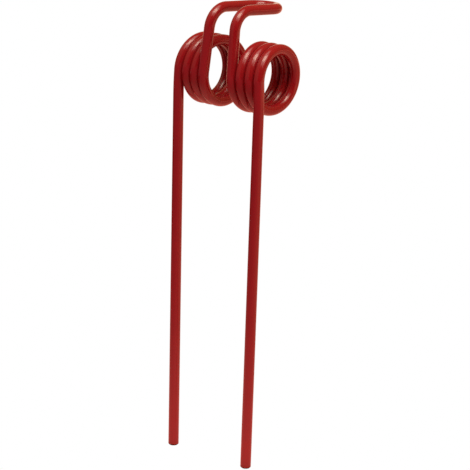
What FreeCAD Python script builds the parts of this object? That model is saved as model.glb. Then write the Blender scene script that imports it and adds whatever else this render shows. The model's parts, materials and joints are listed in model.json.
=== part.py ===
import FreeCAD, Part
import math
import os
from FreeCAD import Vector

# Double spring tine of a hay rake: one length of round spring steel wire, bent to a loop, two coils
# and two straight tines. All sizes are in millimetres and degrees.
#
# The origin is the centre of the clamp bolt in the loop's round end. +X runs along the loop's legs to
# that end, +Z is the bolt's axis, and the tines hang down. The halves mirror each other in the XZ plane.
# The wire's centre line is drawn first, each piece tangent to the one before, and one round section
# is swept along all of it, as the wire is bent from one straight length.

wire_diameter = 9.0

# The loop that the clamp bolt holds: two legs side by side, closed by a half ring.
loop_clear_width = 18.5
loop_leg_length = 27.5

# The bends where the legs turn down, and the risers from there to the coils. The risers lean back and
# spread apart on their way down.
leg_bend_inner_radius = 13.5
riser_length = 35.5
riser_lean = 2.8
riser_splay = 2.5
riser_set_radius = 60.0

# The coils, left-hand on one side and right-hand on the other. The daylight is the space that is left
# between one turn and the next, and the toe turns the outer end of each coil forward.
coil_inner_diameter = 42.5
coil_full_turns = 3
turn_daylight = 0.8
coil_toe = 2.3

# The tines. A gentle bend sets each one upright where it leaves its coil, and from there it is
# straight to its cut and chamfered tip. The tines lean forward and close in a little on their way down.
tine_set_radius = 300.0
tine_length = 309.0
tine_lean = 3.0
tine_closing = 0.6
tip_chamfer = 1.2

wire_radius = wire_diameter / 2
loop_radius = (loop_clear_width + wire_diameter) / 2
leg_bend_radius = leg_bend_inner_radius + wire_radius
coil_radius = (coil_inner_diameter + wire_diameter) / 2
coil_pitch = wire_diameter + turn_daylight
coil_rise = math.degrees(math.atan2(coil_pitch, 2 * math.pi * coil_radius))
coil_turns = coil_full_turns + (riser_lean + tine_lean) / 360

ALONG_LEGS = Vector(1, 0, 0)
OUTWARD = Vector(0, 1, 0)
UPWARD = Vector(0, 0, 1)


def downward(lean, splay):
    """The way down the wire: lean turns it towards +X, and splay turns it outwards."""
    lean = math.radians(lean)
    splay = math.radians(splay)
    in_plane = math.cos(splay)
    return Vector(in_plane * math.sin(lean), math.sin(splay), -in_plane * math.cos(lean))


class CentreLine:
    """A pen that draws the wire's centre line from a start and a heading."""

    def __init__(self, start, heading):
        self.place = start
        self.heading = heading
        self.edges = []

    def straight(self, length):
        end = self.place + self.heading * length
        self.edges.append(Part.makeLine(self.place, end))
        self.place = end

    def bend(self, heading, radius):
        """An arc that turns the wire to a new heading."""
        axis = self.heading.cross(heading).normalize()
        spoke = self.heading.cross(axis) * radius
        centre = self.place - spoke
        angle = math.degrees(self.heading.getAngle(heading))
        middle = centre + FreeCAD.Rotation(axis, angle / 2).multVec(spoke)
        end = centre + FreeCAD.Rotation(axis, angle).multVec(spoke)
        self.edges.append(Part.Arc(self.place, middle, end).toShape())
        self.place = end
        self.heading = heading

    def coil(self, axis, turns, pitch, radius):
        """Left-hand turns that go down the back first and advance along the axis."""
        spoke = axis.cross(self.heading).normalize()
        centre = self.place - spoke * radius
        cone_angle = 0
        left_hand = True
        helix = Part.makeHelix(pitch, pitch * turns, radius, cone_angle, left_hand)
        facing = FreeCAD.Rotation(spoke, axis.cross(spoke), axis, "ZXY")
        helix.Placement = FreeCAD.Placement(centre, facing)
        wound = FreeCAD.Rotation(axis, -360 * turns)
        self.edges.extend(helix.Edges)
        self.place = centre + wound.multVec(spoke) * radius + axis * (pitch * turns)
        self.heading = wound.multVec(self.heading)


def half_line():
    """The centre line from the loop's round end to the tip on the +Y side."""
    toe = FreeCAD.Rotation(UPWARD, -coil_toe)
    pen = CentreLine(OUTWARD * loop_radius, -ALONG_LEGS)
    pen.straight(loop_leg_length)
    pen.bend(downward(-riser_lean, riser_splay), leg_bend_radius)
    pen.straight(riser_length)
    pen.bend(toe.multVec(downward(-riser_lean, coil_rise)), riser_set_radius)
    pen.coil(toe.multVec(OUTWARD), coil_turns, coil_pitch, coil_radius)
    pen.bend(downward(tine_lean, -tine_closing), tine_set_radius)
    pen.straight(tine_length)
    return pen


def loop_end():
    """The half ring that closes the loop, round the clamp bolt."""
    sideways = OUTWARD * loop_radius
    return Part.Arc(-sideways, ALONG_LEGS * loop_radius, sideways).toShape()


def whole_line():
    """The centre line from the tip on the -Y side, over the loop, to the tip on the +Y side."""
    one_side = half_line().edges
    other_side = [edge.mirror(Vector(), OUTWARD) for edge in reversed(one_side)]
    return Part.Wire(other_side + [loop_end()] + one_side)


def tip_rims(wire):
    """The round edges of the two cut ends."""
    cut_ends = [face for face in wire.Faces if isinstance(face.Surface, Part.Plane)]
    return [edge for face in cut_ends for edge in face.Edges]


def spring_tine():
    """The round section swept along the whole centre line, with its tips chamfered."""
    tip = half_line()
    section = Part.Wire(Part.makeCircle(wire_radius, tip.place, tip.heading))
    as_solid = True
    square_to_line = True
    wire = whole_line().makePipeShell([section], as_solid, square_to_line)
    chamfered = wire.makeChamfer(tip_chamfer, tip_rims(wire))
    return chamfered.Solids[0]


os.makedirs("parts", exist_ok=True)
spring_tine().exportStep("parts/spring_tine.step")
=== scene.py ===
import json
import math
from typing import NamedTuple

import bmesh
import bpy
from bpy.props import FloatProperty, FloatVectorProperty, IntProperty, PointerProperty
from mathutils import Matrix, Vector


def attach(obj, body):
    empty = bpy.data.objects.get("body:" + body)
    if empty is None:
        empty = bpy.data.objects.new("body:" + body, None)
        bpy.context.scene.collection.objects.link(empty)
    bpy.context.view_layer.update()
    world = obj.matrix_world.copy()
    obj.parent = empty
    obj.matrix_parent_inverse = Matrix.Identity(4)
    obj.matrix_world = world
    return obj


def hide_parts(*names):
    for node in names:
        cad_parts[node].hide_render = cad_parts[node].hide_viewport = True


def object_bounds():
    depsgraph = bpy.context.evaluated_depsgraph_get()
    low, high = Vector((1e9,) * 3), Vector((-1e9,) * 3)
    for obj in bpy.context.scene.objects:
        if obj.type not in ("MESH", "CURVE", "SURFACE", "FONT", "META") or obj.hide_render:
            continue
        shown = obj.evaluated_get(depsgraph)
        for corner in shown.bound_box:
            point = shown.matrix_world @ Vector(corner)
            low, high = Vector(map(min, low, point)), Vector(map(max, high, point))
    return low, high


bl_info = {
    "name": "Rake Spring Tine",
    "version": (1, 0, 0),
    "blender": (4, 5, 0),
    "location": "View3D > Sidebar > Rake Tine",
    "description": "Winds the coated wire of a hay rake's double spring tine and sets up its studio",
    "category": "Object",
}

# Everything is in metres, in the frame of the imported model: the origin is the centre of the clamp bolt
# in the loop's round end, +X runs along the loop's legs to that end, +Z is the bolt's axis, and the
# tines hang down. The halves mirror each other in the XZ plane.

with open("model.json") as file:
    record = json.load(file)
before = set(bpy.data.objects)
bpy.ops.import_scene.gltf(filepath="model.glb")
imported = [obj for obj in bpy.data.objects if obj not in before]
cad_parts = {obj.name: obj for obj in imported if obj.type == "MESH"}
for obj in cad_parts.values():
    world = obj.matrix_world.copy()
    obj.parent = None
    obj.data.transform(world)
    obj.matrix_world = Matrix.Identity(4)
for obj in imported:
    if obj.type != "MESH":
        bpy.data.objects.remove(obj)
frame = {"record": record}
CAD_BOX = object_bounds()
MOUNTS = {mount["name"]: mount for mount in frame["record"]["mounts"]}
TINE_SHANK = MOUNTS["left_tine_shank"]
TINE_WAY = Vector(TINE_SHANK["axis"])

MM = 0.001

ALONG_LEGS = Vector((1, 0, 0))
OUTWARD = Vector((0, 1, 0))
UPWARD = Vector((0, 0, 1))
OTHER_HALF = Vector((1, -1, 1))

# The shank's mount ends where the chamfer of the cut end begins.
CHAMFER = 1.2 * MM
SHANK_LENGTH = TINE_SHANK["dims"]["length_mm"] * MM
LEFT_TIP = Vector(TINE_SHANK["pos_m"]) + TINE_WAY * (SHANK_LENGTH / 2 + CHAMFER)

# Each point of the wire keeps its place on the straight wire, before any bend, under this name.
STRAIGHT_PLACE = "straight_place"


def downward(lean, splay):
    """The way down the wire: lean turns it towards +X, and splay turns it outwards."""
    in_plane = math.cos(splay)
    return Vector((in_plane * math.sin(lean), math.sin(splay), -in_plane * math.cos(lean)))


def linear_colour(hex_colour):
    """An sRGB hex colour as the linear RGBA that shaders and lights take."""
    channels = [int(hex_colour[i:i + 2], 16) / 255 for i in (1, 3, 5)]
    linear = [c / 12.92 if c <= 0.04045 else ((c + 0.055) / 1.055) ** 2.4 for c in channels]
    return (*linear, 1.0)


WHITE = linear_colour("#FFFFFF")


# Sizes and colours that a user would change


class WireSizes(bpy.types.PropertyGroup):
    """How the wire is bent. The names are those of a spring winder's drawing."""

    wire_diameter: FloatProperty(
        name="Wire diameter", description="Diameter of the wire with its coating",
        default=2 * TINE_SHANK["dims"]["r_mm"] * MM, unit="LENGTH")
    loop_clear_width: FloatProperty(
        name="Loop clear width", description="Free width between the loop's legs",
        default=18.5 * MM, unit="LENGTH")
    loop_leg_length: FloatProperty(
        name="Loop leg length", description="Straight length of each leg of the loop",
        default=27.5 * MM, unit="LENGTH")
    leg_bend_inner_radius: FloatProperty(
        name="Leg bend inner radius", description="Inner radius of the bends where the legs turn down",
        default=13.5 * MM, unit="LENGTH")
    riser_length: FloatProperty(
        name="Riser length", description="Straight length from the leg bend down to the coil",
        default=35.5 * MM, unit="LENGTH")
    riser_lean: FloatProperty(
        name="Riser lean", description="How far the riser leans back on its way down",
        default=math.radians(2.8), unit="ROTATION")
    riser_splay: FloatProperty(
        name="Riser splay", description="How far the riser spreads outwards on its way down",
        default=math.radians(2.5), unit="ROTATION")
    riser_set_radius: FloatProperty(
        name="Riser set radius", description="Radius of the small bend between riser and coil",
        default=60 * MM, unit="LENGTH")
    coil_inner_diameter: FloatProperty(
        name="Coil inner diameter", description="Free diameter inside the coil",
        default=42.5 * MM, unit="LENGTH")
    coil_full_turns: IntProperty(
        name="Coil full turns", description="Whole turns of wire in each coil",
        default=3)
    turn_daylight: FloatProperty(
        name="Turn daylight", description="Space between one turn and the next",
        default=0.8 * MM, unit="LENGTH")
    coil_toe: FloatProperty(
        name="Coil toe", description="How far the outer end of each coil is turned forward",
        default=math.radians(2.3), unit="ROTATION")
    tine_set_radius: FloatProperty(
        name="Tine set radius", description="Radius of the gentle bend between coil and tine",
        default=300 * MM, unit="LENGTH")
    tine_length: FloatProperty(
        name="Tine length", description="Straight length of each tine with its chamfer",
        default=SHANK_LENGTH + CHAMFER, unit="LENGTH")
    tine_lean: FloatProperty(
        name="Tine lean", description="How far the tine leans forward on its way down",
        default=math.atan2(TINE_WAY.x, -TINE_WAY.z), unit="ROTATION")
    tine_closing: FloatProperty(
        name="Tine closing", description="How far the tine turns inwards on its way down",
        default=-math.asin(TINE_WAY.y), unit="ROTATION")
    tip_chamfer: FloatProperty(
        name="Tip chamfer", description="Width of the chamfer round each cut end",
        default=CHAMFER, unit="LENGTH")
    edge_softness: FloatProperty(
        name="Edge softness", description="How far the coating rounds the edges of the cut ends",
        default=0.25 * MM, unit="LENGTH")
    sides: IntProperty(
        name="Sides", description="Points round the wire's section",
        default=48)
    arc_step: FloatProperty(
        name="Arc step", description="Length of wire between two rings of points in a bend",
        default=1.6 * MM, unit="LENGTH")
    straight_step: FloatProperty(
        name="Straight step", description="Length of wire between two rings of points in a straight run",
        default=12 * MM, unit="LENGTH")


class CoatingSettings(bpy.types.PropertyGroup):
    """The powder coating's colours, its gloss and the real sizes of its pattern."""

    deep_red: FloatVectorProperty(
        name="Deep red", description="Colour where the film is thick",
        subtype="COLOR", size=4, min=0, max=1, default=linear_colour("#8C151D"))
    pale_red: FloatVectorProperty(
        name="Pale red", description="Colour where the film is thin",
        subtype="COLOR", size=4, min=0, max=1, default=linear_colour("#98181F"))
    # This colour is a painted highlight on the outer edge of each cut end's chamfer.
    edge_highlight_red: FloatVectorProperty(
        name="Edge highlight red", description="Colour on the sharp edge of a cut end, where the film draws back",
        subtype="COLOR", size=4, min=0, max=1, default=linear_colour("#B23A2C"))
    # This colour is painted shade on the chamfer of each cut end.
    chamfer_shade_red: FloatVectorProperty(
        name="Chamfer shade red", description="Colour on the chamfer, where the film gathers",
        subtype="COLOR", size=4, min=0, max=1, default=linear_colour("#5A0D10"))
    film_patch: FloatProperty(
        name="Film patch", description="Size of the patches of film thickness that the spray leaves",
        default=22 * MM, unit="LENGTH")
    orange_peel: FloatProperty(
        name="Orange peel", description="Length of the waves in the film's surface",
        default=2.5 * MM, unit="LENGTH")
    orange_peel_depth: FloatProperty(
        name="Orange peel depth", description="Depth of the waves in the film's surface",
        default=0.0008 * MM, unit="LENGTH")
    glossiest: FloatProperty(
        name="Glossiest", description="Roughness where the film flowed out best",
        default=0.08)
    dullest: FloatProperty(
        name="Dullest", description="Roughness where the film flowed out least",
        default=0.13)


class StudioSettings(bpy.types.PropertyGroup):
    """The camera that was fitted to the photograph, the softbox and the light from the floor."""

    view_azimuth: FloatProperty(
        name="View azimuth", description="Turn of the camera round the part",
        default=math.radians(-47.391), unit="ROTATION")
    view_elevation: FloatProperty(
        name="View elevation", description="Height of the camera's line of sight over the horizon",
        default=math.radians(11.123), unit="ROTATION")
    view_roll: FloatProperty(
        name="View roll", description="Roll of the camera about its line of sight",
        default=math.radians(3.643), unit="ROTATION")
    view_distance: FloatProperty(
        name="View distance", description="Distance from the camera to the clamp bolt, straight ahead",
        default=2.2092, unit="LENGTH")
    view_shift: FloatVectorProperty(
        name="View shift", description="How far the clamp bolt lies right of and over the line of sight",
        size=2, default=(0.021457, 0.19083), unit="LENGTH")
    view_focal_pixels: FloatProperty(
        name="View focal length", description="Focal length in pixels of the 470 pixel image",
        default=2637.2)
    softbox_azimuth: FloatProperty(
        name="Softbox azimuth", description="Turn of the softbox round the coils",
        default=math.radians(-41), unit="ROTATION")
    softbox_elevation: FloatProperty(
        name="Softbox elevation", description="Height of the softbox over the horizon",
        default=math.radians(64.6), unit="ROTATION")
    softbox_roll: FloatProperty(
        name="Softbox roll", description="Roll of the softbox about its line to the coils",
        default=math.radians(57.4), unit="ROTATION")
    softbox_distance: FloatProperty(
        name="Softbox distance", description="Distance from the softbox to the coils",
        default=1.2, unit="LENGTH")
    softbox_size: FloatVectorProperty(
        name="Softbox size", description="Width and height of the softbox",
        size=2, default=(0.38, 1.05), unit="LENGTH")
    softbox_power: FloatProperty(
        name="Softbox power", description="Power of the softbox",
        default=6.7, unit="POWER")
    softbox_colour: FloatVectorProperty(
        name="Softbox colour", description="Colour of the softbox's light",
        subtype="COLOR", size=4, min=0, max=1, default=linear_colour("#FFF0D6"))
    floor_left_colour: FloatVectorProperty(
        name="Floor left colour", description="Colour of the light from the floor's left side",
        subtype="COLOR", size=4, min=0, max=1, default=linear_colour("#8C4C50"))
    floor_right_colour: FloatVectorProperty(
        name="Floor right colour", description="Colour of the light from the floor's right side",
        subtype="COLOR", size=4, min=0, max=1, default=linear_colour("#FFAC8C"))
    floor_light: FloatProperty(
        name="Floor light", description="Strength of the light that the floor sends back",
        default=1.5)
    pool_light: FloatProperty(
        name="Pool light", description="Strength of the light from the floor close to the part's foot",
        default=2.8)


# The wire


class BentWire:
    """Wire in a bender. Its open end is a ring of points that every step carries on by some length.

    Each point keeps its place on the straight wire as an attribute. The coating's pattern reads it, so
    that it runs along the wire and round it without a seam.
    """

    def __init__(self, sizes, place, heading):
        self.arc_step = sizes.arc_step
        self.straight_step = sizes.straight_step
        self.place = place
        self.heading = heading
        self.drawn = 0.0
        self.bm = bmesh.new()
        self.layer = self.bm.verts.layers.float_vector.new(STRAIGHT_PLACE)
        ring = bmesh.ops.create_circle(
            self.bm, cap_ends=False, segments=sizes.sides, radius=sizes.wire_diameter / 2)["verts"]
        for point in ring:
            point[self.layer] = point.co
        facing = heading.to_track_quat("Z", "Y").to_matrix().to_4x4()
        bmesh.ops.transform(self.bm, matrix=Matrix.Translation(place) @ facing, verts=ring)
        self.rim = list(self.bm.edges)

    def take_over(self, rim, length):
        """Makes the newest ring the open end, and writes how far along the wire it is."""
        self.drawn += length
        self.rim = rim
        for edge in rim:
            for point in edge.verts:
                point[self.layer].z = self.drawn

    def straight(self, length):
        """A straight run."""
        steps = max(1, round(length / self.straight_step))
        for _ in range(steps):
            made = bmesh.ops.extrude_edge_only(self.bm, edges=self.rim)["geom"]
            points = [item for item in made if isinstance(item, bmesh.types.BMVert)]
            bmesh.ops.translate(self.bm, vec=self.heading * (length / steps), verts=points)
            edges = [item for item in made if isinstance(item, bmesh.types.BMEdge)]
            rim = [edge for edge in edges if all(point in points for point in edge.verts)]
            self.take_over(rim, length / steps)
        self.place = self.place + self.heading * length

    def turn(self, centre, axis, angle, advance=0.0):
        """Carries the end round the axis by the angle while it moves along the axis by the advance."""
        arm = self.place - centre
        length = math.hypot(angle * (arm - axis * arm.dot(axis)).length, advance)
        steps = max(2, round(length / self.arc_step))
        slide = axis * (advance / steps)
        for step in range(steps):
            made = bmesh.ops.spin(
                self.bm, geom=self.rim, cent=centre + slide * step, axis=axis, dvec=slide,
                angle=angle / steps, steps=1, use_duplicate=False, use_merge=False,
                use_normal_flip=False)["geom_last"]
            rim = [item for item in made if isinstance(item, bmesh.types.BMEdge)]
            self.take_over(rim, length / steps)
        turned = Matrix.Rotation(angle, 3, axis)
        self.place = centre + turned @ arm + axis * advance
        self.heading = turned @ self.heading

    def bend(self, heading, radius):
        """An arc that turns the wire to a new heading."""
        axis = self.heading.cross(heading).normalized()
        centre = self.place - self.heading.cross(axis) * radius
        self.turn(centre, axis, self.heading.angle(heading))
        self.heading = heading

    def coil(self, axis, turns, pitch, radius):
        """Left-hand turns that go down the back first and advance along the axis."""
        centre = self.place - axis.cross(self.heading).normalized() * radius
        self.turn(centre, axis, -2 * math.pi * turns, pitch * turns)

    def cut_off(self, chamfer, softness):
        """Closes the end with a flat cut, chamfers it, and rounds the edges as a coating does."""
        bmesh.ops.contextual_create(self.bm, geom=self.rim)
        chamfer_edges = bmesh.ops.bevel(
            self.bm, geom=self.rim, offset=chamfer, offset_type="OFFSET", segments=1, profile=0.5,
            affect="EDGES", material=-1)["edges"]
        bmesh.ops.bevel(
            self.bm, geom=chamfer_edges, offset=softness, offset_type="OFFSET", segments=3, profile=0.5,
            affect="EDGES", material=-1)

    def mirror(self):
        """Adds the other half of the part. Its wire runs the other way from the loop's middle."""
        everything = self.bm.verts[:] + self.bm.edges[:] + self.bm.faces[:]
        bmesh.ops.mirror(self.bm, geom=everything, matrix=Matrix(), merge_dist=0.01 * MM, axis="Y")
        for point in self.bm.verts:
            if point.co.y < 0:
                point[self.layer].z = -point[self.layer].z


def wound_spring_tine(sizes):
    """The whole wire as a bmesh, drawn from the loop's middle to one tip and then mirrored."""
    wire_radius = sizes.wire_diameter / 2
    loop_radius = (sizes.loop_clear_width + sizes.wire_diameter) / 2
    coil_radius = (sizes.coil_inner_diameter + sizes.wire_diameter) / 2
    coil_pitch = sizes.wire_diameter + sizes.turn_daylight
    coil_rise = math.atan2(coil_pitch, 2 * math.pi * coil_radius)
    coil_turns = sizes.coil_full_turns + (sizes.riser_lean + sizes.tine_lean) / (2 * math.pi)
    toe = Matrix.Rotation(-sizes.coil_toe, 3, UPWARD)

    wire = BentWire(sizes, ALONG_LEGS * loop_radius, OUTWARD)
    wire.bend(-ALONG_LEGS, loop_radius)
    wire.straight(sizes.loop_leg_length)
    wire.bend(downward(-sizes.riser_lean, sizes.riser_splay), sizes.leg_bend_inner_radius + wire_radius)
    wire.straight(sizes.riser_length)
    wire.bend(toe @ downward(-sizes.riser_lean, coil_rise), sizes.riser_set_radius)
    wire.coil(toe @ OUTWARD, coil_turns, coil_pitch, coil_radius)
    wire.bend(downward(sizes.tine_lean, -sizes.tine_closing), sizes.tine_set_radius)
    wire.straight(sizes.tine_length)
    wire.cut_off(sizes.tip_chamfer, sizes.edge_softness)
    wire.mirror()
    bmesh.ops.recalc_face_normals(wire.bm, faces=wire.bm.faces)
    return wire.bm


def emptied_tree(owner):
    """The node tree of a material or a world, with no nodes in it."""
    owner.use_nodes = True
    owner.node_tree.nodes.clear()
    return owner.node_tree


def add_node(tree, kind, settings=None, inputs=None):
    """Adds a node. Settings are its own properties, and inputs are values or sockets to link from."""
    node = tree.nodes.new(kind)
    for name, value in (settings or {}).items():
        setattr(node, name, value)
    for name, value in (inputs or {}).items():
        if isinstance(value, bpy.types.NodeSocket):
            tree.links.new(value, node.inputs[name])
        else:
            node.inputs[name].default_value = value
    return node


# Nearly all of the noise lies between these values.
NOISE_LOW = 0.3
NOISE_HIGH = 0.7

# Polyester resin bends light this much.
COATING_IOR = 1.5


def red_powder_coating(coating):
    """Red polyester powder coating, sprayed on the wound spring and stoved.

    It flows out to a hard gloss with a faint orange peel, so lamps show as clear patches. The red is a
    little deeper and glossier where the film is thick. At the cut ends the chamfer's outer edge is paler,
    a painted highlight, and the chamfer is darker, painted shade.
    """
    material = bpy.data.materials.new("red_powder_coating")
    tree = emptied_tree(material)
    place = add_node(tree, "ShaderNodeAttribute", {"attribute_name": STRAIGHT_PLACE}).outputs["Vector"]
    film = add_node(tree, "ShaderNodeTexNoise", inputs={
        "Vector": place, "Scale": 1 / coating.film_patch, "Detail": 3.0, "Roughness": 0.6})
    body_red = add_node(tree, "ShaderNodeMix", {"data_type": "RGBA"}, {
        0: film.outputs["Fac"], 6: coating.deep_red, 7: coating.pale_red})
    flow = add_node(tree, "ShaderNodeMapRange", inputs={
        "Value": film.outputs["Fac"], "From Min": NOISE_LOW, "From Max": NOISE_HIGH,
        "To Min": coating.glossiest, "To Max": coating.dullest})
    peel = add_node(tree, "ShaderNodeTexNoise", inputs={
        "Vector": place, "Scale": 1 / coating.orange_peel, "Detail": 1.0})
    relief = add_node(tree, "ShaderNodeBump", inputs={
        "Strength": 1.0, "Distance": coating.orange_peel_depth, "Height": peel.outputs["Fac"]})
    coat = add_node(tree, "ShaderNodeBsdfPrincipled", inputs={
        "Base Color": cut_end_red(tree, coating, body_red.outputs[2]),
        "Roughness": flow.outputs["Result"],
        "IOR": COATING_IOR,
        "Normal": relief.outputs["Normal"],
    })
    add_node(tree, "ShaderNodeOutputMaterial", inputs={"Surface": coat.outputs["BSDF"]})
    return material


def cut_end_red(tree, coating, red):
    """Paints a highlight on each chamfer's outer edge and shade on the chamfer over the red, by how far
    each point is along its tine.

    Absolute coordinates fold the right tine onto the left one. They turn x and z round, because the
    tines lie where both are negative, so the way along the tine is turned round to match.
    """
    turned_round = Vector((-1, 1, -1))
    along_tine = TINE_WAY * turned_round
    folded = add_node(tree, "ShaderNodeVectorMath", {"operation": "ABSOLUTE"}, {
        0: add_node(tree, "ShaderNodeTexCoord").outputs["Object"]})
    reached = add_node(tree, "ShaderNodeVectorMath", {"operation": "DOT_PRODUCT"}, {
        0: folded.outputs["Vector"], 1: along_tine})
    chamfer_edge = (LEFT_TIP * turned_round).dot(along_tine) - CHAMFER
    # The outer edge of each cut end gets a painted highlight, and its chamfer gets painted shade.
    for name, begins_past_edge, full_past_edge, colour in (
        ("painted highlight on the edge", -1.3 * MM, -0.2 * MM, coating.edge_highlight_red),
        ("painted shade on the chamfer", -0.1 * MM, 0.2 * MM, coating.chamfer_shade_red),
    ):
        reach = add_node(tree, "ShaderNodeMapRange", {"label": name}, {
            "Value": reached.outputs["Value"],
            "From Min": chamfer_edge + begins_past_edge, "From Max": chamfer_edge + full_past_edge})
        red = add_node(tree, "ShaderNodeMix", {"data_type": "RGBA"}, {
            0: reach.outputs["Result"], 6: red, 7: colour}).outputs[2]
    return red


class RAKE_TINE_OT_wire(bpy.types.Operator):
    """Winds the wire of the double spring tine and coats it"""

    bl_idname = "rake_tine.wire"
    bl_label = "Wind Spring Tine"

    def execute(self, context):
        wound = wound_spring_tine(context.scene.rake_tine_wire)
        mesh = bpy.data.meshes.new("coated_wire")
        wound.to_mesh(mesh)
        wound.free()
        mesh.shade_smooth()
        mesh.materials.append(red_powder_coating(context.scene.rake_tine_coating))
        piece = bpy.data.objects.new("coated_wire", mesh)
        context.scene.collection.objects.link(piece)
        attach(piece, "root")
        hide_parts("spring_tine")
        return {"FINISHED"}


# The stage


IMAGE_PIXELS = 470
SENSOR_MM = 36.0
NEAREST_SEEN = 10 * MM

# The places, colours and strengths of all light below were matched to the shades that the wire has in
# the photograph.
COILS_CENTRE = Vector((-0.02, 0, -0.05))

FLOOR_HEIGHT = CAD_BOX[0].z
FLOOR_RADIUS = 40.0
FLOOR_SIDES = 96

# The floor's colour turns from the left one to the right one along this azimuth, between these places.
FLOOR_TURN_AZIMUTH = math.radians(84)
FLOOR_TURN_BEGINS = -1.0
FLOOR_TURN_ENDS = 1.6

# The floor is brightest in a pool round the part's foot.
FOOT = Vector((LEFT_TIP.x, 0, LEFT_TIP.z))
POOL_FULL_WITHIN = 0.1
POOL_GONE_BY = 0.5


class Shade(NamedTuple):
    """A round place on the floor that sends only a share of the light back."""

    centre: Vector
    full_within: float
    gone_by: float
    share_left: float


SHADES = (
    Shade(Vector((1.5, -0.9, LEFT_TIP.z)), full_within=0.5, gone_by=1.3, share_left=0.45),
    Shade(Vector((-0.32, 1.2, LEFT_TIP.z)), full_within=0.35, gone_by=0.8, share_left=0.1),
    Shade(LEFT_TIP, full_within=3 * MM, gone_by=11 * MM, share_left=0.0),
    Shade(LEFT_TIP * OTHER_HALF, full_within=3 * MM, gone_by=11 * MM, share_left=0.0),
)


class Glow(NamedTuple):
    """A soft round patch of light in the room. Its place and its two radii are in degrees."""

    name: str
    azimuth: float
    elevation: float
    full_within: float
    gone_by: float
    colour: str
    strength: float


GLOWS = (
    Glow("warm room", azimuth=93, elevation=55, full_within=45, gone_by=113,
         colour="#FFB878", strength=0.36),
    Glow("ceiling", azimuth=-60, elevation=72, full_within=13, gone_by=33,
         colour="#FFF7EA", strength=2.8),
    Glow("lamp on the right", azimuth=-15, elevation=48, full_within=9, gone_by=23,
         colour="#FFF4DF", strength=2.1),
    Glow("left wall", azimuth=-115, elevation=18, full_within=22, gone_by=55,
         colour="#FFF4DF", strength=0.23),
    Glow("back wall", azimuth=-161, elevation=44, full_within=8, gone_by=21,
         colour="#FFF4DF", strength=0.48),
    Glow("white backdrop", azimuth=135, elevation=-1, full_within=11, gone_by=28,
         colour="#FFF4DF", strength=0.83),
)


def standing(azimuth, elevation, roll):
    """The right, up and back of something that faces the part from that side, as a matrix."""
    back = towards(azimuth, elevation)
    level_right = Vector((math.cos(azimuth), math.sin(azimuth), 0))
    level_up = back.cross(level_right)
    right = level_right * math.cos(roll) + level_up * math.sin(roll)
    return Matrix((right, back.cross(right), back)).transposed()


def towards(azimuth, elevation):
    """The way from the part to something. Azimuth 0 lies on the -Y side, and 90 degrees on the +X one."""
    level = math.cos(elevation)
    return Vector((math.sin(azimuth) * level, -math.cos(azimuth) * level, math.sin(elevation)))


def photo_camera(studio):
    """The camera at the photograph's viewing angle."""
    facing = standing(studio.view_azimuth, studio.view_elevation, studio.view_roll)
    lens = bpy.data.cameras.new("photo_camera")
    lens.sensor_width = SENSOR_MM
    lens.lens = studio.view_focal_pixels * SENSOR_MM / IMAGE_PIXELS
    lens.clip_start = NEAREST_SEEN
    camera = bpy.data.objects.new("photo_camera", lens)
    sideways, over = studio.view_shift
    place = facing @ Vector((-sideways, -over, studio.view_distance))
    camera.matrix_world = Matrix.Translation(place) @ facing.to_4x4()
    return camera


def softbox(studio):
    """The softbox, whose reflection gives the coating its long bright patches."""
    facing = standing(studio.softbox_azimuth, studio.softbox_elevation, studio.softbox_roll)
    light = bpy.data.lights.new("softbox", "AREA")
    light.shape = "RECTANGLE"
    light.size, light.size_y = studio.softbox_size
    light.energy = studio.softbox_power
    light.color = studio.softbox_colour[:3]
    lamp = bpy.data.objects.new("softbox", light)
    place = COILS_CENTRE + facing @ Vector((0, 0, studio.softbox_distance))
    lamp.matrix_world = Matrix.Translation(place) @ facing.to_4x4()
    return lamp


def pale_floor(studio):
    """A white paper floor under the tips, out to the horizon."""
    bm = bmesh.new()
    bmesh.ops.create_circle(bm, cap_ends=True, segments=FLOOR_SIDES, radius=FLOOR_RADIUS)
    bmesh.ops.translate(bm, vec=(0, 0, FLOOR_HEIGHT), verts=bm.verts)
    mesh = bpy.data.meshes.new("floor")
    bm.to_mesh(mesh)
    bm.free()
    mesh.materials.append(white_paper(studio))
    return bpy.data.objects.new("floor", mesh)


def white_paper(studio):
    """Matt white photographer's paper under warm light.

    The camera sees it burnt out to white, as in the photograph. What the part gets is the light that
    the paper sends back: paler to the right than to the left, brightest in a pool round the foot, dim
    at the far right and at the back left, and none from the contact shadow under each tip.
    """
    paper = bpy.data.materials.new("white_paper")
    paper.cycles.emission_sampling = "NONE"
    tree = emptied_tree(paper)
    place = add_node(tree, "ShaderNodeTexCoord").outputs["Object"]
    to_the_right = add_node(tree, "ShaderNodeVectorMath", {"operation": "DOT_PRODUCT"}, {
        0: place, 1: towards(FLOOR_TURN_AZIMUTH, 0)})
    paleness = add_node(tree, "ShaderNodeMapRange", {"interpolation_type": "SMOOTHSTEP"}, {
        "Value": to_the_right.outputs["Value"],
        "From Min": FLOOR_TURN_BEGINS, "From Max": FLOOR_TURN_ENDS})
    tint = add_node(tree, "ShaderNodeMix", {"data_type": "RGBA"}, {
        0: paleness.outputs["Result"], 6: studio.floor_left_colour, 7: studio.floor_right_colour})
    light = distance_fade(
        tree, place, FOOT, POOL_FULL_WITHIN, POOL_GONE_BY, studio.pool_light, studio.floor_light)
    for shade in SHADES:
        share = distance_fade(
            tree, place, shade.centre, shade.full_within, shade.gone_by, shade.share_left, 1.0)
        light = add_node(tree, "ShaderNodeMath", {"operation": "MULTIPLY"}, {
            0: light, 1: share}).outputs[0]
    sent_back = add_node(tree, "ShaderNodeEmission", inputs={
        "Color": tint.outputs[2], "Strength": light})
    burnt_out = add_node(tree, "ShaderNodeEmission", inputs={"Color": WHITE})
    surface = split_by_camera(tree, sent_back.outputs[0], burnt_out.outputs[0])
    add_node(tree, "ShaderNodeOutputMaterial", inputs={"Surface": surface})
    return paper


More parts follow.
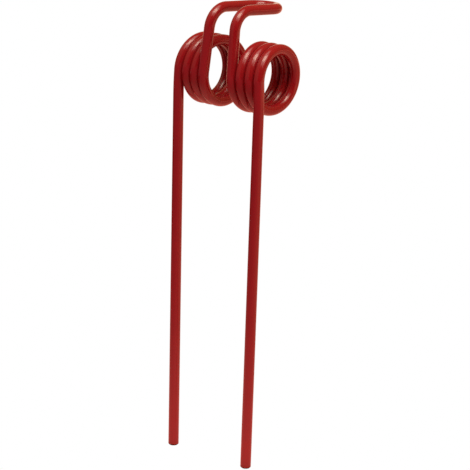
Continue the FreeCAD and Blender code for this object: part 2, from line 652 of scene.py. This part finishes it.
def distance_fade(tree, place, centre, near, far, near_value, far_value):
    """A value that changes softly from one within a near distance to another beyond a far one."""
    away = add_node(
        tree, "ShaderNodeVectorMath", {"operation": "DISTANCE"}, {0: place, 1: centre})
    fade = add_node(tree, "ShaderNodeMapRange", {"interpolation_type": "SMOOTHSTEP"}, {
        "Value": away.outputs["Value"], "From Min": near, "From Max": far,
        "To Min": near_value, "To Max": far_value})
    return fade.outputs["Result"]


def split_by_camera(tree, for_part, for_camera):
    """One shader for what the camera sees itself, and another for what the part gets and mirrors."""
    seen = add_node(tree, "ShaderNodeLightPath").outputs["Is Camera Ray"]
    both = add_node(tree, "ShaderNodeMixShader", inputs={0: seen, 1: for_part, 2: for_camera})
    return both.outputs[0]


def glow_shader(tree, glow):
    """The light of one glow: full near its middle and gone at its rim."""
    middle = towards(math.radians(glow.azimuth), math.radians(glow.elevation))
    way = add_node(tree, "ShaderNodeTexCoord").outputs["Generated"]
    nearness = add_node(
        tree, "ShaderNodeVectorMath", {"operation": "DOT_PRODUCT"}, {0: way, 1: middle})
    strength = add_node(tree, "ShaderNodeMapRange", {"interpolation_type": "SMOOTHSTEP"}, {
        "Value": nearness.outputs["Value"],
        "From Min": math.cos(math.radians(glow.gone_by)),
        "From Max": math.cos(math.radians(glow.full_within)),
        "To Max": glow.strength})
    shader = add_node(tree, "ShaderNodeBackground", {"label": glow.name}, {
        "Color": linear_colour(glow.colour), "Strength": strength.outputs["Result"]})
    return shader.outputs[0]


def studio_room():
    """The room round the part. It is white to the camera, and to the part dim with paler sides.

    The side where the camera stands is dark, so the wire shows deep red there with bright patches only
    where it mirrors the softbox.
    """
    room = bpy.data.worlds.new("studio_room")
    tree = emptied_tree(room)
    lit, *others = [glow_shader(tree, glow) for glow in GLOWS]
    for other in others:
        lit = add_node(tree, "ShaderNodeAddShader", inputs={0: lit, 1: other}).outputs[0]
    white = add_node(tree, "ShaderNodeBackground", inputs={"Color": WHITE})
    surface = split_by_camera(tree, lit, white.outputs[0])
    add_node(tree, "ShaderNodeOutputWorld", inputs={"Surface": surface})
    return room


class RAKE_TINE_OT_stage(bpy.types.Operator):
    """Lays the pale floor and sets the studio light and the camera"""

    bl_idname = "rake_tine.stage"
    bl_label = "Set Up Studio"

    def execute(self, context):
        scene = context.scene
        studio = scene.rake_tine_studio
        floor = pale_floor(studio)
        camera = photo_camera(studio)
        for thing in (floor, camera, softbox(studio)):
            scene.collection.objects.link(thing)
        scene.camera = camera
        scene.world = studio_room()
        scene.view_settings.view_transform = "Standard"
        return {"FINISHED"}


class RAKE_TINE_PT_panel(bpy.types.Panel):
    """Lists the sizes, the colours and the steps"""

    bl_idname = "RAKE_TINE_PT_panel"
    bl_label = "Rake Spring Tine"
    bl_space_type = "VIEW_3D"
    bl_region_type = "UI"
    bl_category = "Rake Tine"

    def draw(self, context):
        scene = context.scene
        for settings in (scene.rake_tine_wire, scene.rake_tine_coating, scene.rake_tine_studio):
            box = self.layout.box()
            for name in settings.__annotations__:
                box.prop(settings, name)
        for operator in (RAKE_TINE_OT_wire, RAKE_TINE_OT_stage):
            self.layout.operator(operator.bl_idname)


CLASSES = (
    WireSizes, CoatingSettings, StudioSettings,
    RAKE_TINE_OT_wire, RAKE_TINE_OT_stage, RAKE_TINE_PT_panel)


def register():
    for cls in CLASSES:
        bpy.utils.register_class(cls)
    bpy.types.Scene.rake_tine_wire = PointerProperty(type=WireSizes)
    bpy.types.Scene.rake_tine_coating = PointerProperty(type=CoatingSettings)
    bpy.types.Scene.rake_tine_studio = PointerProperty(type=StudioSettings)


def unregister():
    del bpy.types.Scene.rake_tine_studio
    del bpy.types.Scene.rake_tine_coating
    del bpy.types.Scene.rake_tine_wire
    for cls in reversed(CLASSES):
        bpy.utils.unregister_class(cls)


def main():
    register()
    bpy.ops.rake_tine.wire()
    bpy.ops.rake_tine.stage()


if __name__ == "__main__":
    main()
